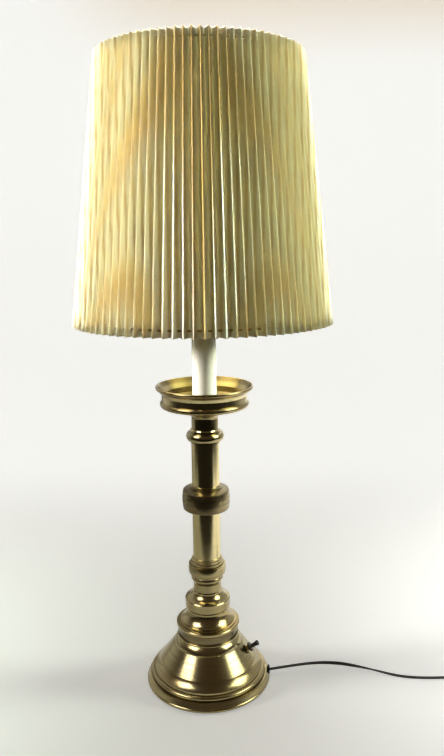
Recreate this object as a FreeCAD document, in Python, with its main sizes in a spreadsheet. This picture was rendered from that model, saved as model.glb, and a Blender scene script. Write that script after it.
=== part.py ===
import FreeCAD, Part
import math
import os
import Sketcher

# Candlestick lamp, in millimetres. +Z is up, and the origin lies on the table under the lamp's axis.
# The shade opens towards the table, the cord leaves the foot towards +X, and the front is -Y.

sizes = {
    # felt pad and cast weight
    "felt_thickness": 1.5,
    "felt_inset": 4.5,
    "weight_clearance": 0.3,
    "weight_rim_width": 20,
    "weight_web": 8,
    "weight_hub_radius": 30,
    "weight_hub_height": 18,
    "nut_recess_radius": 15,
    "nut_recess_depth": 11,
    "cord_channel_gap": 0.8,
    # foot, torus and cone of the base
    "foot_radius": 103.8,
    "foot_bottom_radius": 101.5,
    "foot_slope_radius": 99.2,
    "foot_bead_height": 6.1,
    "foot_height": 14.5,
    "torus_radius": 95.6,
    "torus_height": 8,
    "ridge_radius": 90.4,
    "ridge_height": 3.4,
    "cone_foot_radius": 79.3,
    "flare_height": 12.6,
    "cone_top_radius": 57.4,
    "cone_height": 29.6,
    "cove_height": 12,
    "bead_radius": 51.3,
    "bead_height": 3.2,
    "base_wall": 2.8,
    "foot_wall": 5,
    "casting_wall": 3.5,
    # stepped collar and bell above the base
    "groove_radius": 48.2,
    "groove_height": 4,
    "band_radius": 50,
    "band_height": 8.4,
    "flange_radius": 52.7,
    "flange_height": 8.8,
    "collar_step_radius": 47.5,
    "collar_step_height": 3,
    "bell_foot_radius": 43.5,
    "bell_waist_radius": 34.6,
    "bell_height": 20.7,
    "bell_ring_radius": 37.2,
    "bell_ring_height": 18.5,
    "bell_shoulder_height": 12,
    # lower neck and ring
    "neck_radius": 23.1,
    "neck_height": 19.6,
    "neck_bead_radius": 26.6,
    "neck_bead_height": 7,
    "neck_top_height": 3.4,
    "lower_ring_radius": 31,
    "lower_ring_height": 18,
    "ring_step_radius": 27.2,
    "ring_collar_radius": 25.2,
    "ring_step_height": 11.4,
    # column tubes
    "lower_tube_radius": 22.8,
    "lower_tube_length": 81,
    "upper_tube_radius": 22.4,
    "upper_tube_length": 71.8,
    "tube_wall": 1.4,
    "spigot_length": 6,
    "spigot_clearance": 0.15,
    # middle collar
    "middle_lip_radius": 24.8,
    "middle_lip_height": 2.8,
    "middle_radius": 38.6,
    "middle_edge_radius": 37.2,
    "middle_height": 31.8,
    "middle_crown_height": 2,
    "middle_step_height": 5.2,
    # upper ring and pan neck
    "upper_lip_radius": 23.8,
    "upper_lip_height": 3.6,
    "upper_ring_radius": 30.2,
    "upper_ring_height": 13.4,
    "upper_cap_radius": 24,
    "upper_cap_height": 3.4,
    "pan_neck_radius": 21.5,
    "pan_neck_height": 25.4,
    "pan_seat_radius": 24.6,
    # drip pan
    "pan_radius": 77,
    "pan_band_radius": 67.6,
    "pan_bead_radius": 70.5,
    "pan_floor_rise": 12.8,
    "pan_bead_height": 10,
    "pan_band_height": 9,
    "pan_lip_height": 14.6,
    "pan_wall": 1.8,
    # candle tube and its cap
    "candle_radius": 19.05,
    "candle_length": 191.6,
    "candle_wall": 1.5,
    "cap_thickness": 1.5,
    "cap_skirt": 7,
    # threaded pipe and its hardware
    "pipe_radius": 4.9,
    "pipe_bore_radius": 3.3,
    "pipe_foot": 4.5,
    "pipe_clearance": 0.3,
    "washer_radius": 12,
    "washer_thickness": 1.6,
    "nut_width": 17,
    "nut_height": 4.5,
    "lead_radius": 1.2,
    "lead_spacing": 2.8,
    # harp
    "saddle_thickness": 1.6,
    "saddle_width": 11,
    "harp_half_width": 30,
    "harp_belly": 59,
    "harp_height": 300,
    "harp_wire_radius": 2.3,
    "post_height": 14,
    "sleeve_radius": 4,
    "sleeve_length": 22,
    "sleeve_clearance": 0.1,
    "stud_plate_radius": 7,
    "stud_plate_thickness": 3,
    "stud_radius": 3.1,
    "stud_length": 14,
    # socket
    "socket_radius": 17,
    "socket_wall": 0.6,
    "socket_cap_height": 16,
    "socket_boss_radius": 7.5,
    "socket_boss_height": 5,
    "socket_shell_height": 42,
    "liner_wall": 0.8,
    "socket_gap": 0.2,
    "interior_height": 14,
    "screw_radius": 13.7,
    "screw_wall": 0.5,
    "screw_height": 25,
    "contact_height": 3,
    # bulb
    "bulb_radius": 30,
    "bulb_neck_radius": 12.6,
    "bulb_crown_radius": 1.2,
    "bulb_wall": 0.9,
    "bulb_length": 86,
    "bulb_base_radius": 13.1,
    "bulb_base_height": 22,
    "bulb_tip_radius": 4.5,
    "bulb_tip_height": 3,
    # shade
    "shade_top_radius": 152.4,
    "shade_bottom_radius": 198.7,
    "shade_height": 382.4,
    "pleat_count": 90,
    "pleat_top_depth": 16,
    "pleat_bottom_depth": 15,
    "pleat_skin": 1.5,
    "ring_wire_radius": 1.5,
    "ring_inset": 9.5,
    "ring_cover": 5,
    "ring_gap": 0.3,
    "spider_drop": 28.5,
    "spider_wire_radius": 1.6,
    "spider_arms": 3,
    "spider_azimuth": 90,
    "spider_hub_radius": 12,
    "spider_hub_thickness": 1.8,
    "hub_clearance": 0.1,
    "finial_gap": 0.3,
    # finial
    "finial_radius": 9,
    "finial_height": 36,
    "finial_waist_radius": 4.6,
    "thread_clearance": 0.05,
    # switch, measured outwards from the face of the cone
    "switch_azimuth": 10,
    "switch_rise": 16.5,
    "switch_body_radius": 10,
    "switch_body_length": 24,
    "switch_body_gap": 1.2,
    "bushing_radius": 4.6,
    "bushing_length": 8,
    "bushing_clearance": 0.2,
    "switch_washer_radius": 6.6,
    "switch_washer_thickness": 0.9,
    "ring_nut_radius": 7.4,
    "ring_nut_height": 2.6,
    "ring_nut_standoff": 4.4,
    "shaft_radius": 2.4,
    "shaft_clearance": 0.05,
    "shaft_reach": 6,
    "knob_gap": 0.6,
    "knob_length": 13,
    "knob_neck_radius": 3.4,
    "knob_end_radius": 4.7,
    # grommet, cord and plug
    "grommet_radius": 5.6,
    "grommet_flange_radius": 7.6,
    "grommet_flange_thickness": 2.8,
    "grommet_inner_length": 8,
    "grommet_clearance": 0.1,
    "cord_radius": 2.8,
    "cord_exit_height": 9.5,
    "coil_turn_radius": 30,
    "coil_half_width": 9,
    "coil_height": 10,
    "coil_x": 455,
    "coil_y": 14,
    "coil_lead_length": 30,
    "plug_length": 30,
    "plug_width": 25,
    "plug_thickness": 17,
    "plug_neck_radius": 4.2,
    "plug_neck_length": 12,
    "blade_length": 17,
    "blade_width": 6.3,
    "blade_thickness": 1.5,
    "blade_spacing": 12.7,
}

doc = FreeCAD.newDocument("CandlestickLamp")
sheet = doc.addObject("Spreadsheet::Sheet", "Sizes")
for row, (alias, number) in enumerate(sizes.items(), start=1):
    sheet.set(f"A{row}", alias)
    sheet.set(f"B{row}", str(number))
    sheet.setAlias(f"B{row}", alias)
doc.recompute()


class Size:
    """A number together with the formula of sheet cells that gives it."""

    def __init__(self, value, formula=None):
        self.value = value
        self.formula = formula or str(value)

    def __add__(self, other):
        other = as_size(other)
        return Size(self.value + other.value, f"({self.formula} + {other.formula})")

    def __sub__(self, other):
        other = as_size(other)
        return Size(self.value - other.value, f"({self.formula} - {other.formula})")

    def __mul__(self, other):
        other = as_size(other)
        return Size(self.value * other.value, f"({self.formula} * {other.formula})")

    def __truediv__(self, other):
        other = as_size(other)
        return Size(self.value / other.value, f"({self.formula} / {other.formula})")

    def __rsub__(self, other):
        return as_size(other) - self

    def __neg__(self):
        return Size(0) - self

    __radd__ = __add__
    __rmul__ = __mul__


def as_size(number):
    return number if isinstance(number, Size) else Size(number)


def cosine(degrees):
    return Size(math.cos(math.radians(degrees.value)), f"cos({degrees.formula})")


def sine(degrees):
    return Size(math.sin(math.radians(degrees.value)), f"sin({degrees.formula})")


def middle(first, last, share=0.5):
    """The size that lies a share of the way from the first to the last."""
    return as_size(first) + (as_size(last) - first) * share


class SheetSizes:
    """Gives each cell of the sheet by its alias."""

    def __getattr__(self, alias):
        return Size(float(sheet.get(alias)), f"Sizes.{alias}")


size = SheetSizes()
pieces = []


def keep(piece):
    pieces.append(piece)
    return piece


def set_height(piece, height):
    piece.setExpression("Placement.Base.z", as_size(height).formula)


def new_body(name, height=0):
    body = doc.addObject("PartDesign::Body", name)
    body.Label = name
    set_height(body, height)
    return body


def origin_plane(body, role):
    return [plane for plane in body.Origin.OriginFeatures if plane.Role == role][0]


class Bend:
    """A point that the arc between its two neighbours passes through."""

    def __init__(self, across, up):
        self.across = as_size(across)
        self.up = as_size(up)


def flat(across, up):
    return FreeCAD.Vector(as_size(across).value, as_size(up).value, 0)


def pin_point(sketch, edge, end, across, up):
    """Holds one end of an edge at its two coordinates."""
    for kind, axis, coordinate in (("DistanceX", -2, across), ("DistanceY", -1, up)):
        coordinate = as_size(coordinate)
        if abs(coordinate.value) < 1e-9:
            sketch.addConstraint(Sketcher.Constraint("PointOnObject", edge, end, axis))
            continue
        if coordinate.value > 0:
            held = Sketcher.Constraint(kind, -1, 1, edge, end, coordinate.value)
        else:
            coordinate = -coordinate
            held = Sketcher.Constraint(kind, edge, end, -1, 1, coordinate.value)
        index = sketch.addConstraint(held)
        sketch.setExpression(f"Constraints[{index}]", coordinate.formula)


def draw(body, name, outline, plane="XZ_Plane", lift=None):
    """A closed sketch through the outline's corners, with arcs where it holds a bend."""
    sketch = body.newObject("Sketcher::SketchObject", name)
    sketch.AttachmentSupport = [(origin_plane(body, plane), "")]
    sketch.MapMode = "FlatFace"
    if lift is not None:
        sketch.setExpression("AttachmentOffset.Base.z", lift.formula)
    corners = [point for point in outline if not isinstance(point, Bend)]
    edges = []
    for index, corner in enumerate(outline):
        if isinstance(corner, Bend):
            continue
        following = outline[(index + 1) % len(outline)]
        if isinstance(following, Bend):
            last = outline[(index + 2) % len(outline)]
            edges.append(add_arc(sketch, corner, following, last))
        else:
            line = Part.LineSegment(flat(*corner), flat(*following))
            edges.append((sketch.addGeometry(line), 1, 2))
    for index, (edge, start, end) in enumerate(edges):
        following, next_start, _ = edges[(index + 1) % len(edges)]
        sketch.addConstraint(Sketcher.Constraint("Coincident", edge, end, following, next_start))
    for (edge, start, _), corner in zip(edges, corners):
        pin_point(sketch, edge, start, *corner)
    return sketch


def add_arc(sketch, first, bend, last):
    start, over, end = flat(*first), flat(bend.across, bend.up), flat(*last)
    turns_left = (over - start).cross(end - over).z > 0
    arc = Part.Arc(start, over, end) if turns_left else Part.Arc(end, over, start)
    edge = sketch.addGeometry(arc)
    mark = sketch.addGeometry(Part.Point(over), True)
    sketch.addConstraint(Sketcher.Constraint("PointOnObject", mark, 1, edge))
    pin_point(sketch, mark, 1, bend.across, bend.up)
    return (edge, 1, 2) if turns_left else (edge, 2, 1)


def turned(name, height, outline):
    """A piece turned about the upright axis, with its own zero at the given height."""
    body = new_body(name, height)
    sketch = draw(body, f"{name}_outline", outline)
    spin = body.newObject("PartDesign::Revolution", f"{name}_turned")
    spin.Profile = sketch
    spin.ReferenceAxis = (sketch, ["V_Axis"])
    spin.Angle = 360
    sketch.Visibility = False
    return body


def tube_outline(radius, bore, length, start=0):
    return [(bore, start), (radius, start), (radius, start + length), (bore, start + length)]


def rod(name, radius, length):
    cylinder = doc.addObject("Part::Cylinder", name)
    cylinder.setExpression("Radius", as_size(radius).formula)
    cylinder.setExpression("Height", as_size(length).formula)
    return cylinder


def block(name, width, depth, height):
    box = doc.addObject("Part::Box", name)
    for field, length in (("Length", width), ("Width", depth), ("Height", height)):
        box.setExpression(field, as_size(length).formula)
    return box


def torus(name, ring_radius, wire_radius):
    ring = doc.addObject("Part::Torus", name)
    ring.setExpression("Radius1", as_size(ring_radius).formula)
    ring.setExpression("Radius2", as_size(wire_radius).formula)
    return ring


def cut(name, base, tool):
    result = doc.addObject("Part::Cut", name)
    result.Base = base
    result.Tool = tool
    return result


def fuse(name, shapes):
    result = doc.addObject("Part::MultiFuse", name)
    result.Shapes = shapes
    return result


def place(piece, position, direction=FreeCAD.Vector(0, 0, 1)):
    """Moves a piece to a position, with its own upright axis along a direction."""
    rotation = FreeCAD.Rotation(FreeCAD.Vector(0, 0, 1), direction)
    piece.Placement = FreeCAD.Placement(FreeCAD.Vector(*position), rotation)
    return piece


# Heights of the stack, from the table up.
shell_seat = size.felt_thickness
foot_top = size.foot_height
torus_top = foot_top + size.torus_height
ridge_top = torus_top + size.ridge_height
cone_foot = ridge_top + size.flare_height
cone_top = cone_foot + size.cone_height
bead_foot = cone_top + size.cove_height
shell_height = bead_foot + size.bead_height
collar_seat = shell_seat + shell_height
band_top = size.groove_height + size.band_height
flange_top = band_top + size.flange_height
collar_height = flange_top + size.collar_step_height
bell_seat = collar_seat + collar_height
bell_ring_top = size.bell_height + size.bell_ring_height
neck_seat = bell_seat + bell_ring_top + size.bell_shoulder_height
neck_bead_top = size.neck_height + size.neck_bead_height
lower_ring_seat = neck_seat + neck_bead_top + size.neck_top_height
lower_tube_seat = lower_ring_seat + size.lower_ring_height + size.ring_step_height
middle_seat = lower_tube_seat + size.lower_tube_length
middle_crown = size.middle_lip_height + size.middle_height + size.middle_crown_height
upper_tube_seat = middle_seat + middle_crown + size.middle_step_height
upper_ring_seat = upper_tube_seat + size.upper_tube_length
upper_ring_top = size.upper_lip_height + size.upper_ring_height
pan_neck_seat = upper_ring_seat + upper_ring_top + size.upper_cap_height
pan_seat = pan_neck_seat + size.pan_neck_height
candle_seat = pan_seat + size.pan_wall
cap_seat = candle_seat + size.candle_length
saddle_seat = cap_seat + size.cap_thickness
socket_seat = saddle_seat + size.saddle_thickness
harp_top = socket_seat + size.harp_height
hub_seat = harp_top + size.stud_plate_thickness
shade_top = hub_seat + size.spider_drop
shade_seat = shade_top - size.shade_height
bore = size.pipe_radius + size.pipe_clearance


def make_base_shell():
    """Cast foot with its torus, ridge, flared cone, convex cove and top bead."""
    flare_top = size.cone_foot_radius
    wall = size.base_wall
    slant_wall = wall * 1.25
    inner_foot = size.foot_radius - size.foot_wall
    inner_flare = size.torus_radius - size.foot_wall
    blank = turned("base_casting", shell_seat, [
        (inner_foot, 0),
        (size.foot_bottom_radius, 0),
        Bend(size.foot_radius, size.foot_bead_height * 0.44),
        (middle(size.foot_bottom_radius, size.foot_radius, 0.2), size.foot_bead_height),
        (size.foot_slope_radius, foot_top - 1.2),
        (size.foot_slope_radius - 0.6, foot_top),
        (size.torus_radius - 1.6, foot_top),
        Bend(size.torus_radius, middle(foot_top, torus_top, 0.44)),
        (size.torus_radius - 3.2, torus_top - 0.6),
        (size.ridge_radius - 0.6, torus_top),
        (size.ridge_radius, torus_top + 0.8),
        (size.ridge_radius, ridge_top),
        Bend(middle(size.ridge_radius, flare_top, 0.56), middle(ridge_top, cone_foot, 0.42)),
        (flare_top, cone_foot),
        (size.cone_top_radius, cone_top),
        (size.cone_top_radius - 1, cone_top + 0.6),
        Bend(size.cone_top_radius - 3.4, middle(cone_top, bead_foot, 0.6)),
        (size.bead_radius - 1, bead_foot),
        Bend(size.bead_radius, middle(bead_foot, shell_height)),
        (size.bead_radius - 1, shell_height),
        (bore, shell_height),
        (bore, shell_height - wall),
        (size.bead_radius - wall * 2, bead_foot),
        (size.cone_top_radius - slant_wall, cone_top),
        (size.cone_foot_radius - slant_wall, cone_foot),
        (inner_flare, foot_top),
        (inner_foot, size.foot_bead_height),
    ])
    pierced = cut("base_with_switch_hole", blank, switch_hole())
    return keep(cut("base_shell", pierced, grommet_hole()))


def switch_frame():
    """Point on the cone where the switch stands, and the direction square to the cone there."""
    run = size.cone_foot_radius.value - size.cone_top_radius.value
    rise = size.cone_height.value
    slope = math.hypot(run, rise)
    share = size.switch_rise.value / rise
    radius = size.cone_foot_radius.value - run * share
    height = shell_seat.value + cone_foot.value + size.switch_rise.value
    turn = math.radians(-size.switch_azimuth.value)
    outwards = FreeCAD.Vector(math.cos(turn), math.sin(turn), 0)
    point = outwards * radius + FreeCAD.Vector(0, 0, height)
    return point, outwards * (rise / slope) + FreeCAD.Vector(0, 0, run / slope)


def on_switch(piece, distance=0):
    """Stands a piece on the switch's axis, a distance out from the face of the cone."""
    point, direction = switch_frame()
    return place(piece, point + direction * as_size(distance).value, direction)


def switch_hole():
    depth = size.base_wall * 3
    hole = rod("switch_hole", size.bushing_radius + size.bushing_clearance, depth * 2)
    return on_switch(hole, -depth)


def grommet_point(distance=0):
    """A point on the cord's way out of the foot, a distance out from the grommet's seat."""
    seat = size.foot_radius - size.grommet_flange_thickness
    return (seat.value + as_size(distance).value, 0, size.cord_exit_height.value)


def grommet_hole():
    gap = size.grommet_clearance
    bore_length = size.grommet_inner_length * 2
    shank = rod("grommet_bore", size.grommet_radius + gap, bore_length)
    place(shank, grommet_point(-bore_length), FreeCAD.Vector(1, 0, 0))
    seat = rod("grommet_spotface", size.grommet_flange_radius + gap, bore_length)
    place(seat, grommet_point(), FreeCAD.Vector(1, 0, 0))
    return fuse("grommet_hole", [shank, seat])


def make_foot():
    """Felt pad, and the cast weight that lies against the inside of the foot."""
    radius = size.foot_radius - size.felt_inset
    keep(turned("felt_pad", 0, [(0, 0), (radius, 0), (radius, size.felt_thickness),
                                (0, size.felt_thickness)]))
    slope_foot = size.foot_radius - size.foot_wall - size.weight_clearance
    slope_top = size.torus_radius - size.foot_wall - size.weight_clearance
    weight = turned("weight_casting", shell_seat, [
        (size.nut_recess_radius, 0),
        (slope_foot, 0),
        (slope_foot, size.foot_bead_height),
        (slope_top, foot_top),
        (slope_top - size.weight_rim_width, foot_top),
        (slope_top - size.weight_rim_width - 2, size.weight_web),
        (size.weight_hub_radius + 2, size.weight_web),
        (size.weight_hub_radius, size.weight_hub_height),
        (bore, size.weight_hub_height),
        (bore, size.nut_recess_depth),
        (size.nut_recess_radius, size.nut_recess_depth),
    ])
    half_width = size.grommet_radius + size.cord_channel_gap
    channel = block("cord_channel", size.foot_radius, half_width * 2,
                    size.cord_exit_height + half_width)
    channel.setExpression("Placement.Base.y", (-half_width).formula)
    keep(cut("base_weight", weight, channel))


def make_pipe():
    """Threaded pipe that clamps the whole column, with its washer, nut and the two leads in it."""
    length = socket_seat + size.socket_boss_height - size.pipe_foot
    keep(turned("threaded_pipe", size.pipe_foot,
                tube_outline(size.pipe_radius, size.pipe_bore_radius, length)))
    washer_seat = shell_seat + size.nut_recess_depth - size.washer_thickness
    keep(turned("pipe_washer", washer_seat,
                tube_outline(size.washer_radius, bore, size.washer_thickness)))
    nut = doc.addObject("Part::Prism", "nut_hexagon")
    nut.Polygon = 6
    nut.setExpression("Circumradius", (size.nut_width / 1.732).formula)
    nut.setExpression("Height", size.nut_height.formula)
    set_height(nut, washer_seat - size.nut_height)
    thread = rod("nut_thread", size.pipe_radius + size.thread_clearance, size.nut_height)
    set_height(thread, washer_seat - size.nut_height)
    keep(cut("pipe_nut", nut, thread))
    leads = []
    for side in (-1, 1):
        lead = rod(f"lead_{len(leads) + 1}", size.lead_radius, length - 4)
        lead.setExpression("Placement.Base.x", (size.lead_spacing * side / 2).formula)
        set_height(lead, size.pipe_foot + 2)
        leads.append(lead)
    keep(fuse("lead_wires", leads))


def make_collars():
    """Stepped collar and hollow bell that carry the column on the base."""
    room = size.groove_radius - size.casting_wall
    keep(turned("stepped_collar", collar_seat, [
        (room, 0),
        (size.groove_radius, 0),
        (size.groove_radius, size.groove_height),
        (size.band_radius, size.groove_height + 1.4),
        (size.band_radius, band_top),
        Bend(size.band_radius + 0.7, band_top + 2.6),
        (size.flange_radius, band_top + 4.4),
        (size.flange_radius, flange_top - 1.2),
        (size.flange_radius - 1.2, flange_top),
        (size.collar_step_radius, flange_top + 0.6),
        (size.collar_step_radius, collar_height - 0.6),
        (size.collar_step_radius - 2.4, collar_height),
        (bore, collar_height),
    ] + ceiling(room, collar_height)))
    ring_foot = size.bell_height + 3.8
    shoulder = bell_ring_top + size.bell_shoulder_height
    hollow = size.bell_waist_radius - size.casting_wall
    keep(turned("bell_collar", bell_seat, [
        (hollow, 0),
        (size.bell_foot_radius, 0),
        (size.bell_foot_radius, 1.8),
        Bend(middle(size.bell_foot_radius, size.bell_waist_radius, 0.64), size.bell_height * 0.42),
        (size.bell_waist_radius, size.bell_height - 2.5),
        (size.bell_waist_radius, size.bell_height),
        (size.bell_ring_radius - 1, ring_foot - 1.2),
        (size.bell_ring_radius, ring_foot),
        (size.bell_ring_radius, bell_ring_top - 1.4),
        (size.bell_ring_radius - 1.2, bell_ring_top),
        Bend(middle(size.bell_ring_radius, size.neck_radius, 0.58), bell_ring_top + 4.2),
        (size.neck_radius + 1.5, shoulder - 1),
        (size.neck_radius + 1.5, shoulder),
        (bore, shoulder),
        (bore, bell_ring_top),
        (hollow, bell_ring_top - 4),
    ]))
    room = size.neck_radius - size.casting_wall
    keep(turned("lower_neck", neck_seat, [
        (room, 0),
        (size.neck_radius + 0.6, 0),
        (size.neck_radius, 2.4),
        (size.neck_radius, size.neck_height - 5),
        (size.neck_bead_radius - 1, size.neck_height),
        Bend(size.neck_bead_radius, middle(size.neck_height, neck_bead_top)),
        (size.neck_bead_radius - 1, neck_bead_top),
        (size.neck_bead_radius + 0.4, neck_bead_top + 1.2),
        (size.neck_bead_radius + 0.4, neck_bead_top + size.neck_top_height),
        (bore, neck_bead_top + size.neck_top_height),
    ] + ceiling(room, neck_bead_top + size.neck_top_height)))


def spigot(tube_radius):
    return tube_radius - size.tube_wall - size.spigot_clearance


def ceiling(room, top):
    """The end of an outline whose piece is hollow from below, up to a wall under its top."""
    return [(bore, top - size.casting_wall), (room, top - size.casting_wall)]


def make_column():
    """Two tubes held between turned rings, each ring with a spigot in the tube beside it."""
    ring_top = size.lower_ring_height
    collar_top = ring_top + size.ring_step_height
    lower_spigot = spigot(size.lower_tube_radius)
    upper_spigot = spigot(size.upper_tube_radius)
    room = upper_spigot - size.casting_wall
    keep(turned("lower_ring", lower_ring_seat, [
        (room, 0),
        (size.neck_bead_radius + 1.6, 0),
        (size.lower_ring_radius - 0.6, 2.4),
        Bend(size.lower_ring_radius, ring_top / 2),
        (size.lower_ring_radius - 0.8, ring_top - 0.8),
        (size.ring_step_radius, ring_top),
        (size.ring_step_radius, ring_top + 3.6),
        (size.ring_collar_radius, ring_top + 4.4),
        (size.ring_collar_radius, ring_top + 8.4),
        (size.lower_tube_radius + 1, ring_top + 9.2),
        (size.lower_tube_radius + 1, collar_top),
        (lower_spigot, collar_top),
        (lower_spigot, collar_top + size.spigot_length),
        (bore, collar_top + size.spigot_length),
    ] + ceiling(room, collar_top + size.spigot_length)))
    keep(turned("lower_tube", lower_tube_seat,
                tube_outline(size.lower_tube_radius, size.lower_tube_radius - size.tube_wall,
                             size.lower_tube_length)))
    lip = size.middle_lip_height
    edge = lip + size.middle_height
    belly_room = size.middle_edge_radius - size.casting_wall
    top = size.spigot_length * 2 + middle_crown + size.middle_step_height
    keep(turned("middle_collar", middle_seat - size.spigot_length, [
        (room, 0),
        (lower_spigot, 0),
        (lower_spigot, size.spigot_length),
        (size.middle_lip_radius, size.spigot_length),
        (size.middle_lip_radius, size.spigot_length + lip),
        (size.middle_edge_radius - 1, size.spigot_length + lip),
        (size.middle_edge_radius, size.spigot_length + lip + 1),
        Bend(size.middle_radius, size.spigot_length + middle(lip, edge)),
        (size.middle_edge_radius, size.spigot_length + edge - 1),
        (size.middle_edge_radius - 1, size.spigot_length + edge),
        (size.upper_tube_radius + 4.2, size.spigot_length + middle_crown),
        (size.upper_tube_radius + 3, size.spigot_length + middle_crown),
        (size.upper_tube_radius + 3, size.spigot_length + middle_crown + 2.4),
        (size.upper_tube_radius + 1.6, size.spigot_length + middle_crown + 2.8),
        (size.upper_tube_radius + 1.6, size.spigot_length + middle_crown + size.middle_step_height),
        (upper_spigot, size.spigot_length + middle_crown + size.middle_step_height),
        (upper_spigot, top),
        (bore, top),
    ] + ceiling(room, top) + [
        (room, size.spigot_length + edge - size.casting_wall),
        (belly_room, size.spigot_length + edge - size.casting_wall),
        (belly_room, size.spigot_length + lip + size.casting_wall),
        (room, size.spigot_length + lip + size.casting_wall),
    ]))
    keep(turned("upper_tube", upper_tube_seat,
                tube_outline(size.upper_tube_radius, size.upper_tube_radius - size.tube_wall,
                             size.upper_tube_length)))
    foot = size.spigot_length
    lip_top = foot + size.upper_lip_height
    ring_top = foot + upper_ring_top
    keep(turned("upper_ring", upper_ring_seat - foot, [
        (room, 0),
        (upper_spigot, 0),
        (upper_spigot, foot),
        (size.upper_lip_radius, foot),
        (size.upper_lip_radius, lip_top),
        (size.upper_ring_radius - 2, lip_top + 0.8),
        Bend(size.upper_ring_radius, middle(lip_top, ring_top)),
        (size.upper_ring_radius - 2, ring_top - 0.8),
        (size.upper_cap_radius, ring_top),
        (size.upper_cap_radius, ring_top + size.upper_cap_height),
        (bore, ring_top + size.upper_cap_height),
    ] + ceiling(room, ring_top + size.upper_cap_height)))
    keep(turned("pan_neck", pan_neck_seat, [
        (room, 0),
        (size.pan_neck_radius + 0.9, 0),
        (size.pan_neck_radius, 1.8),
        (size.pan_neck_radius, size.pan_neck_height * 0.68),
        Bend(middle(size.pan_neck_radius, size.pan_seat_radius, 0.2), size.pan_neck_height * 0.87),
        (size.pan_seat_radius, size.pan_neck_height),
        (bore, size.pan_neck_height),
    ] + ceiling(room, size.pan_neck_height)))


def make_pan():
    """Spun drip pan: flat seat, conical floor, rolled bead, upright band and flared lip."""
    wall = size.pan_wall
    seat = size.pan_seat_radius
    floor = size.pan_floor_rise
    bead = floor + size.pan_bead_height
    band = bead + size.pan_band_height
    lip = band + size.pan_lip_height
    keep(turned("drip_pan", pan_seat, [
        (bore, 0),
        (seat, 0),
        (size.pan_bead_radius - 6, floor),
        Bend(size.pan_bead_radius, middle(floor, bead, 0.5)),
        (size.pan_band_radius, bead),
        (size.pan_band_radius, band),
        Bend(middle(size.pan_band_radius, size.pan_radius, 0.25), middle(band, lip, 0.3)),
        (size.pan_radius - 1.6, middle(band, lip, 0.66)),
        Bend(size.pan_radius, middle(band, lip, 0.84)),
        (size.pan_radius - 1, lip),
        (size.pan_radius - 1 - wall, lip),
        (size.pan_band_radius - wall, band),
        (size.pan_band_radius - wall, bead),
        (size.pan_band_radius - wall - 5, floor + wall),
        (seat + 1, wall),
        (bore, wall),
    ]))


def make_candle():
    keep(turned("candle_tube", candle_seat,
                tube_outline(size.candle_radius, size.candle_radius - size.candle_wall,
                             size.candle_length)))
    skirt = size.candle_radius - size.candle_wall - size.spigot_clearance
    keep(turned("candle_cap", cap_seat - size.cap_skirt, [
        (skirt - size.cap_thickness, 0),
        (skirt, 0),
        (skirt, size.cap_skirt),
        (size.candle_radius, size.cap_skirt),
        (size.candle_radius, size.cap_skirt + size.cap_thickness),
        (bore, size.cap_skirt + size.cap_thickness),
        (bore, size.cap_skirt),
        (skirt - size.cap_thickness, size.cap_skirt),
    ]))


def make_socket():
    """Keyless screw socket: cap, shell, liner, moulded interior, screw shell and contact."""
    outer = size.socket_radius
    wall = size.socket_wall
    thread = size.pipe_radius + size.thread_clearance
    cap_top = size.socket_cap_height
    keep(turned("socket_cap", socket_seat, [
        (thread, 0),
        (size.socket_boss_radius, 0),
        (size.socket_boss_radius, size.socket_boss_height),
        Bend(middle(size.socket_boss_radius, outer, 0.75), size.socket_boss_height + 2.6),
        (outer, cap_top - 4),
        (outer, cap_top),
        (outer - wall, cap_top),
        (outer - wall, cap_top - 4),
        Bend(middle(size.socket_boss_radius, outer, 0.7), size.socket_boss_height + 3.6),
        (size.socket_boss_radius, size.socket_boss_height + 1),
        (thread, size.socket_boss_height + 1),
    ]))
    shell_bottom = socket_seat + cap_top
    keep(turned("socket_shell", shell_bottom,
                tube_outline(outer, outer - wall, size.socket_shell_height)))
    liner = outer - wall - size.socket_gap
    keep(turned("socket_liner", shell_bottom,
                tube_outline(liner, liner - size.liner_wall, size.socket_shell_height - 1)))
    core = liner - size.liner_wall - size.socket_gap
    keep(turned("socket_interior", shell_bottom - 3, [
        (0, 0), (core, 0), (core, size.interior_height), (0, size.interior_height)]))
    screw_seat = shell_bottom - 3 + size.interior_height
    keep(turned("screw_shell", screw_seat,
                tube_outline(size.screw_radius, size.screw_radius - size.screw_wall,
                             size.screw_height)))
    keep(turned("centre_contact", screw_seat, [
        (0, 0), (size.bulb_tip_radius, 0), (size.bulb_tip_radius - 1, size.contact_height),
        (0, size.contact_height)]))
    return screw_seat


def make_bulb(screw_seat):
    tip_seat = screw_seat + size.contact_height
    thread_foot = size.bulb_tip_height
    base_top = thread_foot + size.bulb_base_height
    keep(turned("bulb_base", tip_seat, [
        (0, 0),
        (size.bulb_tip_radius, 0),
        (size.bulb_tip_radius + 1, thread_foot * 0.6),
        (size.bulb_base_radius - 2, thread_foot),
        (size.bulb_base_radius, thread_foot + 2),
        (size.bulb_base_radius, base_top),
        (0, base_top),
    ]))
    neck = size.bulb_neck_radius
    top = size.bulb_length
    centre = top - size.bulb_radius
    wall = size.bulb_wall
    inside = size.bulb_radius - wall
    keep(turned("bulb_glass", tip_seat + base_top, [
        (neck - wall, 0),
        (neck, 0),
        (neck + 1, 8),
        Bend(middle(neck, size.bulb_radius, 0.55), centre * 0.5),
        (size.bulb_radius, centre),
        Bend(size.bulb_radius * 0.7071, centre + size.bulb_radius * 0.7071),
        (size.bulb_crown_radius, top),
        (0, top),
        (0, top - wall),
        (size.bulb_crown_radius, top - wall),
        Bend(inside * 0.7071, centre + inside * 0.7071),
        (inside, centre),
        Bend(middle(neck, size.bulb_radius, 0.55) - wall, centre * 0.5),
        (neck + 1 - wall, 8),
    ]))


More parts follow.
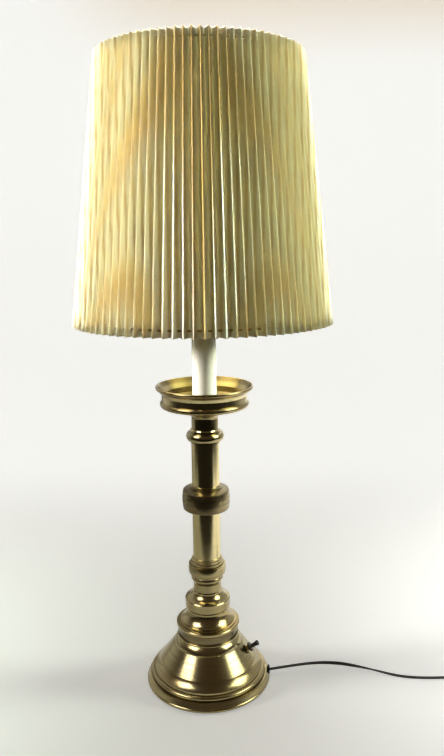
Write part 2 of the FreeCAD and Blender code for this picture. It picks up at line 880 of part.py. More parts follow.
def path_wire(points):
    """Straight runs joined by tangent arcs, each as large as its two runs allow."""
    edges = []
    start = points[0]
    radii = []
    for before, corner, after in zip(points, points[1:], points[2:]):
        into = (corner - before).normalize()
        out = (after - corner).normalize()
        half_turn = into.getAngle(out) / 2
        shorter = min((corner - before).Length, (after - corner).Length)
        reach = 0.45 * shorter
        radii.append(reach / math.tan(half_turn))
        first = corner - into * reach
        last = corner + out * reach
        inwards = (out - into).normalize()
        over = corner + inwards * (radii[-1] / math.cos(half_turn) - radii[-1])
        edges.append(Part.LineSegment(start, first).toShape())
        edges.append(Part.Arc(first, over, last).toShape())
        start = last
    edges.append(Part.LineSegment(start, points[-1]).toShape())
    return Part.Wire(edges), radii


def swept_rod(name, points, radius):
    """A round rod along a path, as a solid of its own."""
    wire, radii = path_wire(points)
    start = (points[1] - points[0]).normalize()
    section = Part.Wire(Part.Circle(points[0], start, radius).toShape())
    solid = wire.makePipeShell([section], True, False)
    print(name, "radii", [round(bend) for bend in radii], "length", round(wire.Length, 1),
          "volume share", round(solid.Volume / (wire.Length * math.pi * radius ** 2), 4))
    piece = doc.addObject("Part::Feature", name)
    piece.Shape = solid
    return piece


def make_harp():
    """Saddle with two posts, the wire bow that stands on them, its sleeves and its stud."""
    plate_length = (size.harp_half_width + size.sleeve_radius) * 2
    plate = block("saddle_plate", plate_length, size.saddle_width, size.saddle_thickness)
    plate.setExpression("Placement.Base.x", (-plate_length / 2).formula)
    plate.setExpression("Placement.Base.y", (-size.saddle_width / 2).formula)
    set_height(plate, saddle_seat)
    posts = []
    for side in (-1, 1):
        post = rod(f"saddle_post_{len(posts) + 1}", size.harp_wire_radius,
                   size.saddle_thickness + size.post_height)
        post.setExpression("Placement.Base.x", (size.harp_half_width * side).formula)
        set_height(post, saddle_seat)
        posts.append(post)
    hole = rod("saddle_hole", bore, size.saddle_thickness)
    set_height(hole, saddle_seat)
    keep(cut("harp_saddle", fuse("saddle_blank", [plate] + posts), hole))

    half, belly = size.harp_half_width.value, size.harp_belly.value
    foot = (socket_seat + size.post_height).value
    rise = size.harp_height.value - size.post_height.value - size.harp_wire_radius.value
    side_points = [(half, 0), (half, 0.2), (belly, 0.42), (belly, 0.7), (half * 0.9, 0.94)]
    right = [FreeCAD.Vector(across, 0, foot + rise * share) for across, share in side_points]
    left = [FreeCAD.Vector(-point.x, 0, point.z) for point in reversed(right)]
    crown = FreeCAD.Vector(0, 0, foot + rise * 1.02)
    keep(swept_rod("harp_bow", right + [crown] + left, size.harp_wire_radius.value))

    for side, label in ((-1, "left"), (1, "right")):
        gap = size.harp_wire_radius + size.sleeve_clearance
        outer = rod(f"{label}_sleeve_blank", size.sleeve_radius, size.sleeve_length)
        inner = rod(f"{label}_sleeve_bore", gap, size.sleeve_length)
        for part in (outer, inner):
            part.setExpression("Placement.Base.x", (size.harp_half_width * side).formula)
            set_height(part, socket_seat + size.ring_gap)
        keep(cut(f"harp_sleeve_{label}", outer, inner))
    keep(turned("harp_stud", harp_top, [
        (0, 0),
        (size.stud_plate_radius, 0),
        (size.stud_plate_radius, size.stud_plate_thickness),
        (size.stud_radius, size.stud_plate_thickness),
        (size.stud_radius, size.stud_plate_thickness + size.stud_length),
        (0, size.stud_plate_thickness + size.stud_length),
    ]))


def pleat_section(ridge, depth):
    """One folded pleat from valley to valley, seen from above, with its ridge on the X axis."""
    half = half_pleat()
    valley = ridge - depth
    skin = size.pleat_skin
    side_x, side_y = valley * cosine(half), valley * sine(half)
    inner_x, inner_y = (valley - skin) * cosine(half), (valley - skin) * sine(half)
    return [(side_x, -side_y), (ridge, 0), (side_x, side_y),
            (inner_x, inner_y), (ridge - skin, 0), (inner_x, -inner_y)]


def make_shade():
    """Accordion-pleated cone: one pleat lofted from hem to hem and repeated round the axis."""
    body = new_body("shade_pleats", shade_seat)
    bottom = draw(body, "pleat_bottom",
                  pleat_section(size.shade_bottom_radius, size.pleat_bottom_depth), "XY_Plane")
    top = draw(body, "pleat_top", pleat_section(size.shade_top_radius, size.pleat_top_depth),
               "XY_Plane", lift=size.shade_height)
    pleat = body.newObject("PartDesign::AdditiveLoft", "pleat")
    pleat.Profile = bottom
    pleat.Sections = [top]
    pleat.Ruled = True
    doc.recompute()
    folds = [pleat]
    for label, height in (("bottom", size.ring_inset), ("top", size.shade_height - size.ring_inset)):
        punch = body.newObject("PartDesign::Pocket", f"{label}_fold_hole")
        punch.Profile = draw(body, f"{label}_fold_punch", punch_outline(height))
        punch.SideType = "Symmetric"
        punch.setExpression("Length", (size.shade_top_radius * 2 * sine(half_pleat())).formula)
        doc.recompute()
        folds.append(punch)
    ring = body.newObject("PartDesign::PolarPattern", "pleats")
    ring.Originals = folds
    ring.Axis = (bottom, ["N_Axis"])
    ring.Angle = 360
    ring.setExpression("Occurrences", size.pleat_count.formula)
    ring.Refine = False
    body.Tip = ring
    keep(body)


def half_pleat():
    return Size(180) / size.pleat_count


def punch_outline(height):
    """Square hole on its corner, through both sides of a pleat, that a wire ring runs in."""
    reach = (size.ring_wire_radius + size.ring_gap) * 1.4142
    middle_radius = wire_ring_radius(height)
    return [(middle_radius - reach, height), (middle_radius, height - reach),
            (middle_radius + reach, height), (middle_radius, height + reach)]


def wire_ring_radius(height):
    """Radius of a wire ring threaded through the folds at a height above the bottom edge."""
    bottom = size.shade_bottom_radius - size.pleat_bottom_depth
    top = size.shade_top_radius - size.pleat_top_depth
    return middle(bottom, top, height / size.shade_height) + size.ring_cover


def make_shade_frame():
    """Bottom wire ring, and the top ring with the spider that hangs the shade on the harp."""
    wire = size.ring_wire_radius
    lower = torus("shade_bottom_ring", wire_ring_radius(size.ring_inset), wire)
    set_height(lower, shade_seat + size.ring_inset)
    keep(lower)
    ring_height = size.shade_height - size.ring_inset
    ring_radius = wire_ring_radius(ring_height)
    upper = torus("spider_ring", ring_radius, wire)
    set_height(upper, shade_seat + ring_height)
    keep(upper)
    hub = turned("spider_hub", hub_seat,
                 tube_outline(size.spider_hub_radius, size.stud_radius + size.hub_clearance,
                              size.spider_hub_thickness))
    keep(hub)
    hub_middle = hub_seat + size.spider_hub_thickness / 2
    start = FreeCAD.Vector(size.spider_hub_radius.value - 1, 0, hub_middle.value)
    end = FreeCAD.Vector(ring_radius.value, 0, (shade_seat + ring_height).value)
    joined = fuse("spider_joints", [upper, hub])
    pitch = 360 / size.pleat_count.value
    for index in range(int(size.spider_arms.value)):
        arm = rod(f"arm_blank_{index + 1}", size.spider_wire_radius, (end - start).Length)
        even_spread = 360 * index / size.spider_arms.value + size.spider_azimuth.value
        # each arm reaches the ring inside an outer fold
        spin = FreeCAD.Rotation(FreeCAD.Vector(0, 0, 1), round(even_spread / pitch) * pitch)
        place(arm, spin.multVec(start), spin.multVec(end - start))
        keep(cut(f"spider_arm_{index + 1}", arm, joined))


def make_finial():
    """Turned knob that screws down on the stud and holds the spider."""
    thread = size.stud_radius + size.thread_clearance
    depth = size.stud_length - size.spider_hub_thickness + 1
    top = size.finial_height
    waist = size.finial_waist_radius
    keep(turned("finial", hub_seat + size.spider_hub_thickness + size.finial_gap, [
        (thread, 0),
        (size.finial_radius, 0),
        (size.finial_radius, 2),
        (waist + 1.4, 4.5),
        (waist, top * 0.25),
        Bend(waist + 0.8, top * 0.36),
        (size.finial_radius - 1, top * 0.48),
        Bend(size.finial_radius, top * 0.66),
        (size.finial_radius * 0.5, top * 0.88),
        Bend(size.finial_radius * 0.42, top * 0.97),
        (size.finial_radius * 0.1, top),
        (0, top),
        (0, depth),
        (thread, depth),
    ]))


def make_switch():
    """Turn switch through the cone: body inside, bushing, washer, ring nut, shaft and knob."""
    inside = size.base_wall + size.switch_body_gap
    body = turned("switch_body", 0, tube_outline(size.switch_body_radius, 0,
                                                 size.switch_body_length))
    keep(on_switch(release(body), -inside - size.switch_body_length))
    shaft_bore = size.shaft_radius + size.shaft_clearance
    bushing = turned("switch_bushing", 0, tube_outline(size.bushing_radius, shaft_bore,
                                                       inside + size.bushing_length))
    keep(on_switch(release(bushing), -inside))
    thread = size.bushing_radius + size.thread_clearance
    washer = turned("switch_washer", 0, tube_outline(size.switch_washer_radius, thread,
                                                     size.switch_washer_thickness))
    keep(on_switch(release(washer), size.thread_clearance))
    nut = turned("switch_ring_nut", 0, tube_outline(size.ring_nut_radius, thread,
                                                    size.ring_nut_height))
    keep(on_switch(release(nut), size.ring_nut_standoff))
    knob_foot = size.bushing_length + size.knob_gap
    shaft_length = size.shaft_reach + size.knob_gap + size.bushing_length + size.knob_length / 2
    shaft = turned("switch_shaft", 0, tube_outline(size.shaft_radius, 0, shaft_length))
    keep(on_switch(release(shaft), -size.shaft_reach + 2))
    socket = size.shaft_radius + size.thread_clearance
    depth = shaft_length - size.shaft_reach + 2 - knob_foot + size.thread_clearance
    knob = turned("switch_knob", 0, [
        (socket, 0),
        (size.knob_neck_radius, 0),
        (size.knob_neck_radius, size.knob_length * 0.4),
        Bend(size.knob_neck_radius + 0.3, size.knob_length * 0.7),
        (size.knob_end_radius, size.knob_length - 1),
        (size.knob_end_radius - 0.6, size.knob_length),
        (0, size.knob_length),
        (0, depth),
        (socket, depth),
    ])
    keep(on_switch(release(knob), knob_foot))


def release(body):
    """Frees a turned piece from its height, so that it can stand on another axis."""
    body.setExpression("Placement.Base.z", None)
    return body


def make_grommet():
    flange = rod("grommet_flange", size.grommet_flange_radius, size.grommet_flange_thickness)
    shank = rod("grommet_shank", size.grommet_radius, size.grommet_inner_length)
    hole = rod("grommet_cord_hole", size.cord_radius + size.thread_clearance,
               size.grommet_flange_thickness + size.grommet_inner_length)
    along = FreeCAD.Vector(1, 0, 0)
    place(flange, grommet_point(), along)
    place(shank, grommet_point(-size.grommet_inner_length), along)
    place(hole, grommet_point(-size.grommet_inner_length), along)
    keep(cut("cord_grommet", fuse("grommet_blank", [flange, shank]), hole))


def make_cord():
    """Free cord from the foot to the coil, the coil of the length out of sight, and the plug."""
    radius = size.cord_radius.value
    floor = radius + 0.1
    exit_x = size.foot_radius.value
    coil_front = size.coil_y.value - size.coil_turn_radius.value
    lead_start = size.coil_x.value - size.coil_lead_length.value
    route = [
        (exit_x, 0, size.cord_exit_height.value),
        (141, 7, 11),
        (183, 13, 12.5),
        (222, 13, 11.5),
        (254, 8.5, 8),
        (286, 1, 4.4),
        (319, -11, floor),
        (350, -16.5, floor),
        (384, -17.5, floor),
        (lead_start - 20, -16.2, floor),
        (lead_start, coil_front, floor),
    ]
    keep(swept_rod("cord", [FreeCAD.Vector(*point) for point in route], radius))

    half = size.coil_half_width
    ring = turned("coil_ring", 0.1, tube_outline(size.coil_turn_radius + half,
                                                 size.coil_turn_radius - half,
                                                 size.coil_height))
    ring.setExpression("Placement.Base.x", size.coil_x.formula)
    ring.setExpression("Placement.Base.y", size.coil_y.formula)
    entry = rod("coil_entry", size.cord_radius, size.coil_lead_length)
    place(entry, (lead_start, coil_front, floor), FreeCAD.Vector(1, 0, 0))
    leave = rod("coil_exit", size.cord_radius, size.coil_lead_length)
    turn_x = size.coil_x.value + size.coil_turn_radius.value
    plug_height = size.plug_thickness.value / 2
    place(leave, (turn_x, size.coil_y.value, plug_height), FreeCAD.Vector(0, 1, 0))
    keep(fuse("cord_coil", [ring, entry, leave]))
    make_plug(FreeCAD.Vector(turn_x, size.coil_y.value + size.coil_lead_length.value, plug_height))


def make_plug(start):
    """Moulded two-blade plug, lying along +Y from the end of the cord."""
    along = FreeCAD.Vector(0, 1, 0)
    neck = doc.addObject("Part::Cone", "plug_neck")
    neck.setExpression("Radius1", (size.cord_radius + 0.8).formula)
    neck.setExpression("Radius2", size.plug_neck_radius.formula)
    neck.setExpression("Height", size.plug_neck_length.formula)
    place(neck, start, along)
    grip = block("plug_grip", size.plug_width, size.plug_length, size.plug_thickness)
    grip_start = start.y + size.plug_neck_length.value
    place(grip, (start.x - size.plug_width.value / 2, grip_start, 0))
    rounded = doc.addObject("Part::Fillet", "plug_rounded")
    rounded.Base = grip
    doc.recompute()
    long_edges = [index + 1 for index, edge in enumerate(grip.Shape.Edges)
                  if abs(edge.tangentAt(edge.FirstParameter).y) > 0.9]
    edge_radius = size.plug_thickness.value / 3
    rounded.Edges = [(index, edge_radius, edge_radius) for index in long_edges]
    keep(fuse("plug_body", [neck, rounded]))
    blades = []
    for side in (-1, 1):
        blade = block(f"blade_{len(blades) + 1}", size.blade_thickness, size.blade_length,
                      size.blade_width)
        across = start.x + side * size.blade_spacing.value / 2 - size.blade_thickness.value / 2
        place(blade, (across, grip_start + size.plug_length.value,
                      start.z - size.blade_width.value / 2))
        blades.append(blade)
    keep(fuse("plug_blades", blades))


make_base_shell()
make_foot()
make_pipe()
make_collars()
make_column()
make_pan()
make_candle()
make_harp()
make_bulb(make_socket())
make_shade()
make_shade_frame()
make_finial()
make_switch()
make_grommet()
make_cord()
doc.recompute()

for thing in doc.Objects:
    if "Invalid" in thing.State or "Error" in thing.State:
        raise RuntimeError(f"{thing.Label} failed: {thing.State}")
for piece in pieces:
    if piece.Shape.isNull() or not piece.Shape.isValid() or not piece.Shape.Solids:
        raise RuntimeError(f"{piece.Label} has no valid solid")

os.makedirs("parts", exist_ok=True)
for piece in pieces:
    piece.Shape.exportStep(f"parts/{piece.Label}.step")
print(len(pieces), "pieces")
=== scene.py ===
import math

import bmesh
import bpy
from mathutils import Euler, Matrix, Vector


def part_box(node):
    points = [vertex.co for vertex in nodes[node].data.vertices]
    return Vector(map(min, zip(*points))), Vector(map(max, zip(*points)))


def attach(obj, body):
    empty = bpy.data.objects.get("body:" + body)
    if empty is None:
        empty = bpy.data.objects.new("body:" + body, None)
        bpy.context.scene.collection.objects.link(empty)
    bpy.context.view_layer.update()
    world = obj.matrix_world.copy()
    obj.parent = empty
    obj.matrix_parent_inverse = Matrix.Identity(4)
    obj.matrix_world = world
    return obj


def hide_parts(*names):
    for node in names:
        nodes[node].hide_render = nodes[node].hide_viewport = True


# Candlestick lamp: camera, light, finishes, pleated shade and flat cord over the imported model.

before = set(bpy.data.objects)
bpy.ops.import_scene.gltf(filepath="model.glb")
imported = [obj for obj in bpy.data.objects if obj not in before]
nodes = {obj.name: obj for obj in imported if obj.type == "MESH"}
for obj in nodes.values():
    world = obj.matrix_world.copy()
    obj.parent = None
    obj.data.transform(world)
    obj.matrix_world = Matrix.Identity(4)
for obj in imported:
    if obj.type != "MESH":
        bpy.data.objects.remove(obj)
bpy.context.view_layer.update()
scene = bpy.context.scene
mm = 0.001

cameraView = {
    "place": (0.0278, -1.0682, 0.7260),
    "pitchDown": 11.066,  # degrees below level
    "roll": -0.596,
    "lens": 33.045,  # on the 36 mm long side of the picture
}

roomLight = {
    "floorColour": (0.83, 0.84, 0.82, 1),
    "backdropColour": (0.86, 0.87, 0.85, 1),
    "floorGlow": 0.47,  # what the camera and the metal see added on the sweep
    "backGlow": 1.0,
    "glowTilt": 0.5,  # share per half metre, brighter on the right, in reflections only
    "tableEdge": -0.42,  # the pale table ends here and the room in front is dark
    "sweepDepth": 1.0,  # the floor behind the lamp, before it bends up
    "sweepBend": 0.9,
    "bendSteps": 12,
    "sweepTop": 3.2,
    "glowAlong": (-0.1, 1.3),  # from the floor's glow to the backdrop's
    "tiltReach": 0.5,
    "colourRise": (0.0, 1.2),  # heights between the floor's and the backdrop's colour
    "fill": 0.55,  # world strength for diffuse light
    "frontShare": 0.1,  # of that strength, from the room in front
    "behind": (-0.2, 0.6),
    "seenSky": 0.9,
    "skyFront": (1.0, 0.74, 0.42, 1),
    "skyBack": (0.97, 0.98, 0.96, 1),
    "mirroredBack": (0.6, 0.6, 0.58, 1),
    "horizon": (-0.08, 0.12),
    "frontHigh": (0.085, 0.062, 0.042, 1),  # dark room in front, as metal shows it
    "frontLow": (0.014, 0.012, 0.008, 1),
    "sheetWidth": 1.08,  # half of it
    "topTint": (0.74, 0.66, 0.55, 1),
    "topTintHeights": (1.38, 1.75),
    "topTintAcross": (-0.8, -0.1),
    "leftTint": (0.42, 0.40, 0.37, 1),  # the left of the table, as the metal shows it
    "leftTintAcross": (-0.08, -0.55),
    "leftPlace": (-1.33, -0.10, 1.10),
    "leftPower": 19.5,
    "rightPlace": (1.36, 0.10, 1.10),
    "rightPower": 16,
    "sideAim": 0.78,
    "sideAcross": 0.75,
    "sideHigh": 0.5,
    "sideSpread": 41,  # degrees
    "boxAcross": 0.95,
    "boxAim": 0.4,
    "leftBox": (-1.40, -0.93, 1.40),
    "leftBoxHigh": 0.85,
    "leftBoxPower": 19,
    "rightBox": (1.62, -0.42, 1.18),
    "rightBoxHigh": 1.05,
    "rightBoxPower": 24,
    "leftColour": (0.99, 0.975, 0.96),
    "rightColour": (0.90, 0.99, 0.86),
}


# Number: a socket that takes part in arithmetic and adds its Math nodes to the tree.
class Number:
    def __init__(self, tree, socket):
        self.tree = tree
        self.socket = socket

    def calc(self, operation, *values):
        node = self.tree.nodes.new("ShaderNodeMath")
        node.operation = operation
        for slot, value in zip(node.inputs, values):
            plug(self.tree, slot, value)
        return Number(self.tree, node.outputs[0])

    def __add__(self, other):
        return self.calc("ADD", self, other)

    def __sub__(self, other):
        return self.calc("SUBTRACT", self, other)

    def __rsub__(self, other):
        return self.calc("SUBTRACT", other, self)

    def __mul__(self, other):
        return self.calc("MULTIPLY", self, other)

    def __truediv__(self, other):
        return self.calc("DIVIDE", self, other)

    def __rtruediv__(self, other):
        return self.calc("DIVIDE", other, self)

    def __pow__(self, other):
        return self.calc("POWER", self, other)

    __radd__ = __add__
    __rmul__ = __mul__


def plug(tree, slot, value):
    if isinstance(value, Number):
        tree.links.new(value.socket, slot)
    else:
        slot.default_value = value


# Board: a node tree with one method that adds any node.
class Board:
    def __init__(self, tree):
        self.tree = tree

    def add(self, kind, settings=None, inputs=None, out=0):
        node = self.tree.nodes.new(kind)
        for name, value in (settings or {}).items():
            if name == "stops":
                ramp = node.color_ramp.elements
                while len(ramp) < len(value):
                    ramp.new(0.5)
                for element, (place, colour) in zip(ramp, value):
                    element.position = place
                    element.color = colour
            else:
                setattr(node, name, value)
        for name, value in (inputs or {}).items():
            plug(self.tree, node.inputs[name], value)
        return Number(self.tree, node.outputs[out]) if node.outputs else node

    def step(self, value, low, high):
        return self.add("ShaderNodeMapRange", {"interpolation_type": "SMOOTHSTEP"},
                        {"Value": value, "From Min": low, "From Max": high})

    def blend(self, amount, first, second):
        return self.add("ShaderNodeMix", {"data_type": "RGBA"}, {0: amount, 6: first, 7: second},
                        out=2)

    def place(self):
        return self.add("ShaderNodeTexCoord", out="Object")

    def axes(self, place):
        node = self.tree.nodes.new("ShaderNodeSeparateXYZ")
        plug(self.tree, node.inputs[0], place)
        return [Number(self.tree, node.outputs[i]) for i in range(3)]


def newMaterial(name):
    material = bpy.data.materials.new(name)
    material.use_nodes = True
    material.node_tree.nodes.clear()
    board = Board(material.node_tree)
    return material, board


def finishMaterial(board, surface):
    board.add("ShaderNodeOutputMaterial", None, {"Surface": surface})


def noise(board, place, scale, detail=2.0, roughness=0.5):
    return board.add("ShaderNodeTexNoise", {"noise_dimensions": "3D"},
                     {"Vector": place, "Scale": scale, "Detail": detail, "Roughness": roughness})


def stretched(board, place, scale):
    return board.add("ShaderNodeMapping", None, {"Vector": place, "Scale": scale})


def bump(board, height, strength, distance):
    return board.add("ShaderNodeBump", None,
                     {"Height": height, "Strength": strength, "Distance": distance})


brassLook = {
    "colour": (0.40, 0.335, 0.17, 1),
    "warm": (0.44, 0.30, 0.115, 1),
    "edge": (0.66, 0.56, 0.29, 1),
    # the dark colour for tarnish and for painted shade
    "tarnishAndShade": (0.085, 0.068, 0.045, 1),
    "recessShadeBand": (0.0835, 0.0995),  # heights of the recess under the flange, painted darker there as shade
    "recessShadeShare": 0.55,
    "toning": 0.22,
    "cornerReach": 0.012,  # how far the grime and the painted corner shade reach from an inner corner
    "edgeReach": 0.0022,
    "roughness": 0.17,
    "spinDepth": 0.00002,
}


def brassMaterial(name, warmth=0.0, roughness=None, age=0.0):
    material, board = newMaterial(name)
    place = board.place()
    x, y, z = board.axes(place)
    cloud = noise(board, place, 22, 4, 0.6)
    speck = noise(board, place, 160, 3, 0.6)
    spin = noise(board, stretched(board, place, (6, 6, 900)), 1.0, 3, 0.65)
    reach = (x * x + y * y) ** 0.5
    rings = board.add("ShaderNodeCombineXYZ", None, {"X": reach * 300, "Y": z * 300})
    band = board.add("ShaderNodeTexNoise", {"noise_dimensions": "2D"},
                     {"Vector": rings, "Scale": 1.0, "Detail": 2.0, "Roughness": 0.6})
    # occlusion finds inner corners, which are painted darker: painted shade, broken up like grime
    corner = board.add("ShaderNodeAmbientOcclusion", {"samples": 8},
                       {"Distance": brassLook["cornerReach"]}, out="AO")
    edge = board.add("ShaderNodeAmbientOcclusion", {"samples": 6, "inside": True},
                     {"Distance": brassLook["edgeReach"]}, out="AO")
    grimeAndShade = board.step(1 - corner, 0.22, 0.85) * (cloud * 0.5 + 0.5)
    low, high = brassLook["recessShadeBand"]
    fade = 2 * mm
    # the recess under the flange painted darker: painted shade
    recessShade = board.step(z, low, low + fade) * board.step(z, high, high - fade)
    mottle = (board.step(cloud, 0.25, 0.65) * 0.5 + 0.5) * age
    toning = (board.step(band, 0.42, 0.62) * brassLook["toning"]
              + recessShade * brassLook["recessShadeShare"] + mottle)
    wear = board.step(1 - edge, 0.08, 0.45)
    # tarnish and toning together with the painted shade of corners and of the recess under the
    # flange
    patinaAndShade = (grimeAndShade + toning).calc("MINIMUM", grimeAndShade + toning, 1.0) * (1 - wear * 0.8)
    patch = board.step(cloud, 0.42, 0.72) * 0.5 + warmth
    clean = board.blend(patch, brassLook["colour"], brassLook["warm"])
    polished = board.blend(wear, clean, brassLook["edge"])
    colour = board.blend(patinaAndShade, polished, brassLook["tarnishAndShade"])
    base = brassLook["roughness"] if roughness is None else roughness
    rough = (base + board.step(cloud, 0.4, 0.8) * 0.06 + patinaAndShade * 0.14
             + board.step(speck, 0.6, 0.8) * 0.05)
    shape = spin * 0.6 + speck * 0.15
    surface = board.add("ShaderNodeBsdfPrincipled", None, {
        "Base Color": colour, "Metallic": 1.0, "Roughness": rough,
        "Normal": bump(board, shape, 0.35, brassLook["spinDepth"])})
    finishMaterial(board, surface)
    return material


def plainMaterial(name, colour, roughness, metallic=0.0, grain=120, depth=0.00004, tint=0.12,
                  coat=0.0):
    material, board = newMaterial(name)
    place = board.place()
    cloud = noise(board, place, 35, 3)
    fine = noise(board, place, grain * 10, 3, 0.6)
    darker = tuple(part * (1 - tint) for part in colour[:3]) + (1,)
    surface = board.add("ShaderNodeBsdfPrincipled", None, {
        "Base Color": board.blend(board.step(cloud, 0.35, 0.7), colour, darker),
        "Metallic": metallic,
        "Roughness": roughness + cloud * 0.08,
        "Coat Weight": coat,
        "Normal": bump(board, fine, 0.3, depth)})
    finishMaterial(board, surface)
    return material


candleLook = {
    # the sleeve's white is greyed down here: painted shade from the lamp shade above it
    "colour": (0.36, 0.345, 0.295, 1),
    "streak": (0.33, 0.315, 0.26, 1),
    "roughness": 0.22,
}


def candleMaterial():
    material, board = newMaterial("candleSleeve")
    place = board.place()
    streak = noise(board, stretched(board, place, (90, 90, 6)), 1.0, 3)
    cloud = noise(board, place, 30, 3)
    colour = board.blend(board.step(streak, 0.4, 0.75) * 0.6, candleLook["colour"],
                         candleLook["streak"])
    surface = board.add("ShaderNodeBsdfPrincipled", None, {
        "Base Color": colour, "Roughness": candleLook["roughness"] + cloud * 0.1,
        "Normal": bump(board, streak, 0.25, 0.00005)})
    finishMaterial(board, surface)
    return material


bulbLook = {
    "colour": (0.9, 0.9, 0.88, 1),
    "cloud": (0.84, 0.84, 0.81, 1),
    "roughness": 0.32,
    "clearness": 0.35,
}


def bulbMaterial():
    material, board = newMaterial("frostedBulb")
    place = board.place()
    cloud = noise(board, place, 60, 3)
    surface = board.add("ShaderNodeBsdfPrincipled", None, {
        "Base Color": board.blend(cloud, bulbLook["colour"], bulbLook["cloud"]),
        "Roughness": bulbLook["roughness"] + cloud * 0.1,
        "Transmission Weight": bulbLook["clearness"],
        "Normal": bump(board, cloud, 0.15, 0.00005)})
    finishMaterial(board, surface)
    return material


shadeLook = {
    "pleats": 90,
    "steps": 12,
    "rows": 20,
    "topRadius": 152.4 * mm,
    "bottomRadius": 198.7 * mm,
    "topDepth": 16 * mm,
    "bottomDepth": 15 * mm,
    "foldRounding": 0.07,
    "foldEase": 0.07,  # gathers the points of the grid at the folds
    "sway": ((17, 0.4, 1.0), (29, 2.1, 0.8), (43, 4.0, 0.7)),  # waves around, phase, weight
    "swayDepth": 0.12 * mm,
    "cloth": 0.45 * mm,
    "unevenness": 0.0011,
    "pitch": 33.7 * mm,  # cloth in one pleat
    "through": 0.58,
    "bright": (0.94, 0.925, 0.84, 1),
    "deep": (0.89, 0.88, 0.74, 1),
    "valley": (0.44, 0.27, 0.07, 1),  # painted shade at the bottom of the folds
    "valleyShadeReach": (7.5 * mm, 16.5 * mm),  # distances from the ridge along the cloth
    "ridge": (0.86, 0.84, 0.70, 1),
    "ridgeReach": (1.1 * mm, 0.4 * mm),
    "glowThrough": (0.90, 0.88, 0.72, 1),
}


def clothMaterial():
    material, board = newMaterial("pleatedCloth")
    weave = board.add("ShaderNodeUVMap", {"uv_map": "clothMap"})
    across, _, _ = board.axes(weave)
    place = board.place()
    warp = board.add("ShaderNodeTexNoise", {"noise_dimensions": "2D"}, {
        "Vector": stretched(board, weave, (2200, 90, 1)), "Scale": 1.0, "Detail": 3.0})
    weft = board.add("ShaderNodeTexNoise", {"noise_dimensions": "2D"}, {
        "Vector": stretched(board, weave, (60, 1600, 1)), "Scale": 1.0, "Detail": 2.0})
    cloud = noise(board, place, 14, 3)
    thread = warp * 0.65 + weft * 0.35
    woven = board.blend(board.step(thread, 0.35, 0.7) * 0.45 + board.step(cloud, 0.4, 0.75) * 0.2,
                        shadeLook["bright"], shadeLook["deep"])
    turn = across / shadeLook["pitch"]
    share = turn.calc("FRACT", turn) * 2 - 1
    toRidge = (1 - share.calc("ABSOLUTE", share)) * (shadeLook["pitch"] / 2)
    # the bottom of each fold painted dark brown: painted shade
    valleyShade = board.blend(board.step(toRidge, *shadeLook["valleyShadeReach"]), woven, shadeLook["valley"])
    colour = board.blend(board.step(toRidge, *shadeLook["ridgeReach"]), valleyShade, shadeLook["ridge"])
    normal = bump(board, thread, 0.35, 0.00012)
    face = board.add("ShaderNodeBsdfPrincipled", None, {
        "Base Color": colour, "Roughness": 0.72 + thread * 0.1, "Specular IOR Level": 0.2,
        "Normal": normal})
    through = board.add("ShaderNodeBsdfTranslucent", None,
                        {"Color": shadeLook["glowThrough"], "Normal": normal})
    surface = board.add("ShaderNodeMixShader", None,
                        {0: shadeLook["through"], 1: face, 2: through})
    finishMaterial(board, surface)
    return material


def geometryTree(name, sockets):
    tree = bpy.data.node_groups.new(name, "GeometryNodeTree")
    tree.interface.new_socket("Geometry", in_out="INPUT", socket_type="NodeSocketGeometry")
    for label, (kind, value) in sockets.items():
        socket = tree.interface.new_socket(label, in_out="INPUT", socket_type=kind)
        if value is not None:
            socket.default_value = value
    tree.interface.new_socket("Geometry", in_out="OUTPUT", socket_type="NodeSocketGeometry")
    source = tree.nodes.new("NodeGroupInput")
    taps = {socket.name: Number(tree, socket) for socket in source.outputs if socket.name}
    return tree, Board(tree), taps


def closeTree(tree, board, geometry, material):
    real = board.add("GeometryNodeRealizeInstances", None, {"Geometry": geometry})
    done = board.add("GeometryNodeSetMaterial", None, {"Geometry": real, "Material": material})
    board.add("NodeGroupOutput", None, {0: done})


def growMesh(name, tree, values, source=None):
    carrier = bpy.data.objects.new(name + "Grower", source or bpy.data.meshes.new(name + "Seed"))
    scene.collection.objects.link(carrier)
    modifier = carrier.modifiers.new("grow", "NODES")
    modifier.node_group = tree
    for item in tree.interface.items_tree:
        if item.in_out == "INPUT" and item.name in values:
            modifier[item.identifier] = values[item.name]
    graph = bpy.context.evaluated_depsgraph_get()
    mesh = bpy.data.meshes.new_from_object(carrier.evaluated_get(graph), depsgraph=graph)
    bpy.data.objects.remove(carrier)
    piece = bpy.data.objects.new(name, mesh)
    mesh.name = name
    scene.collection.objects.link(piece)
    return piece


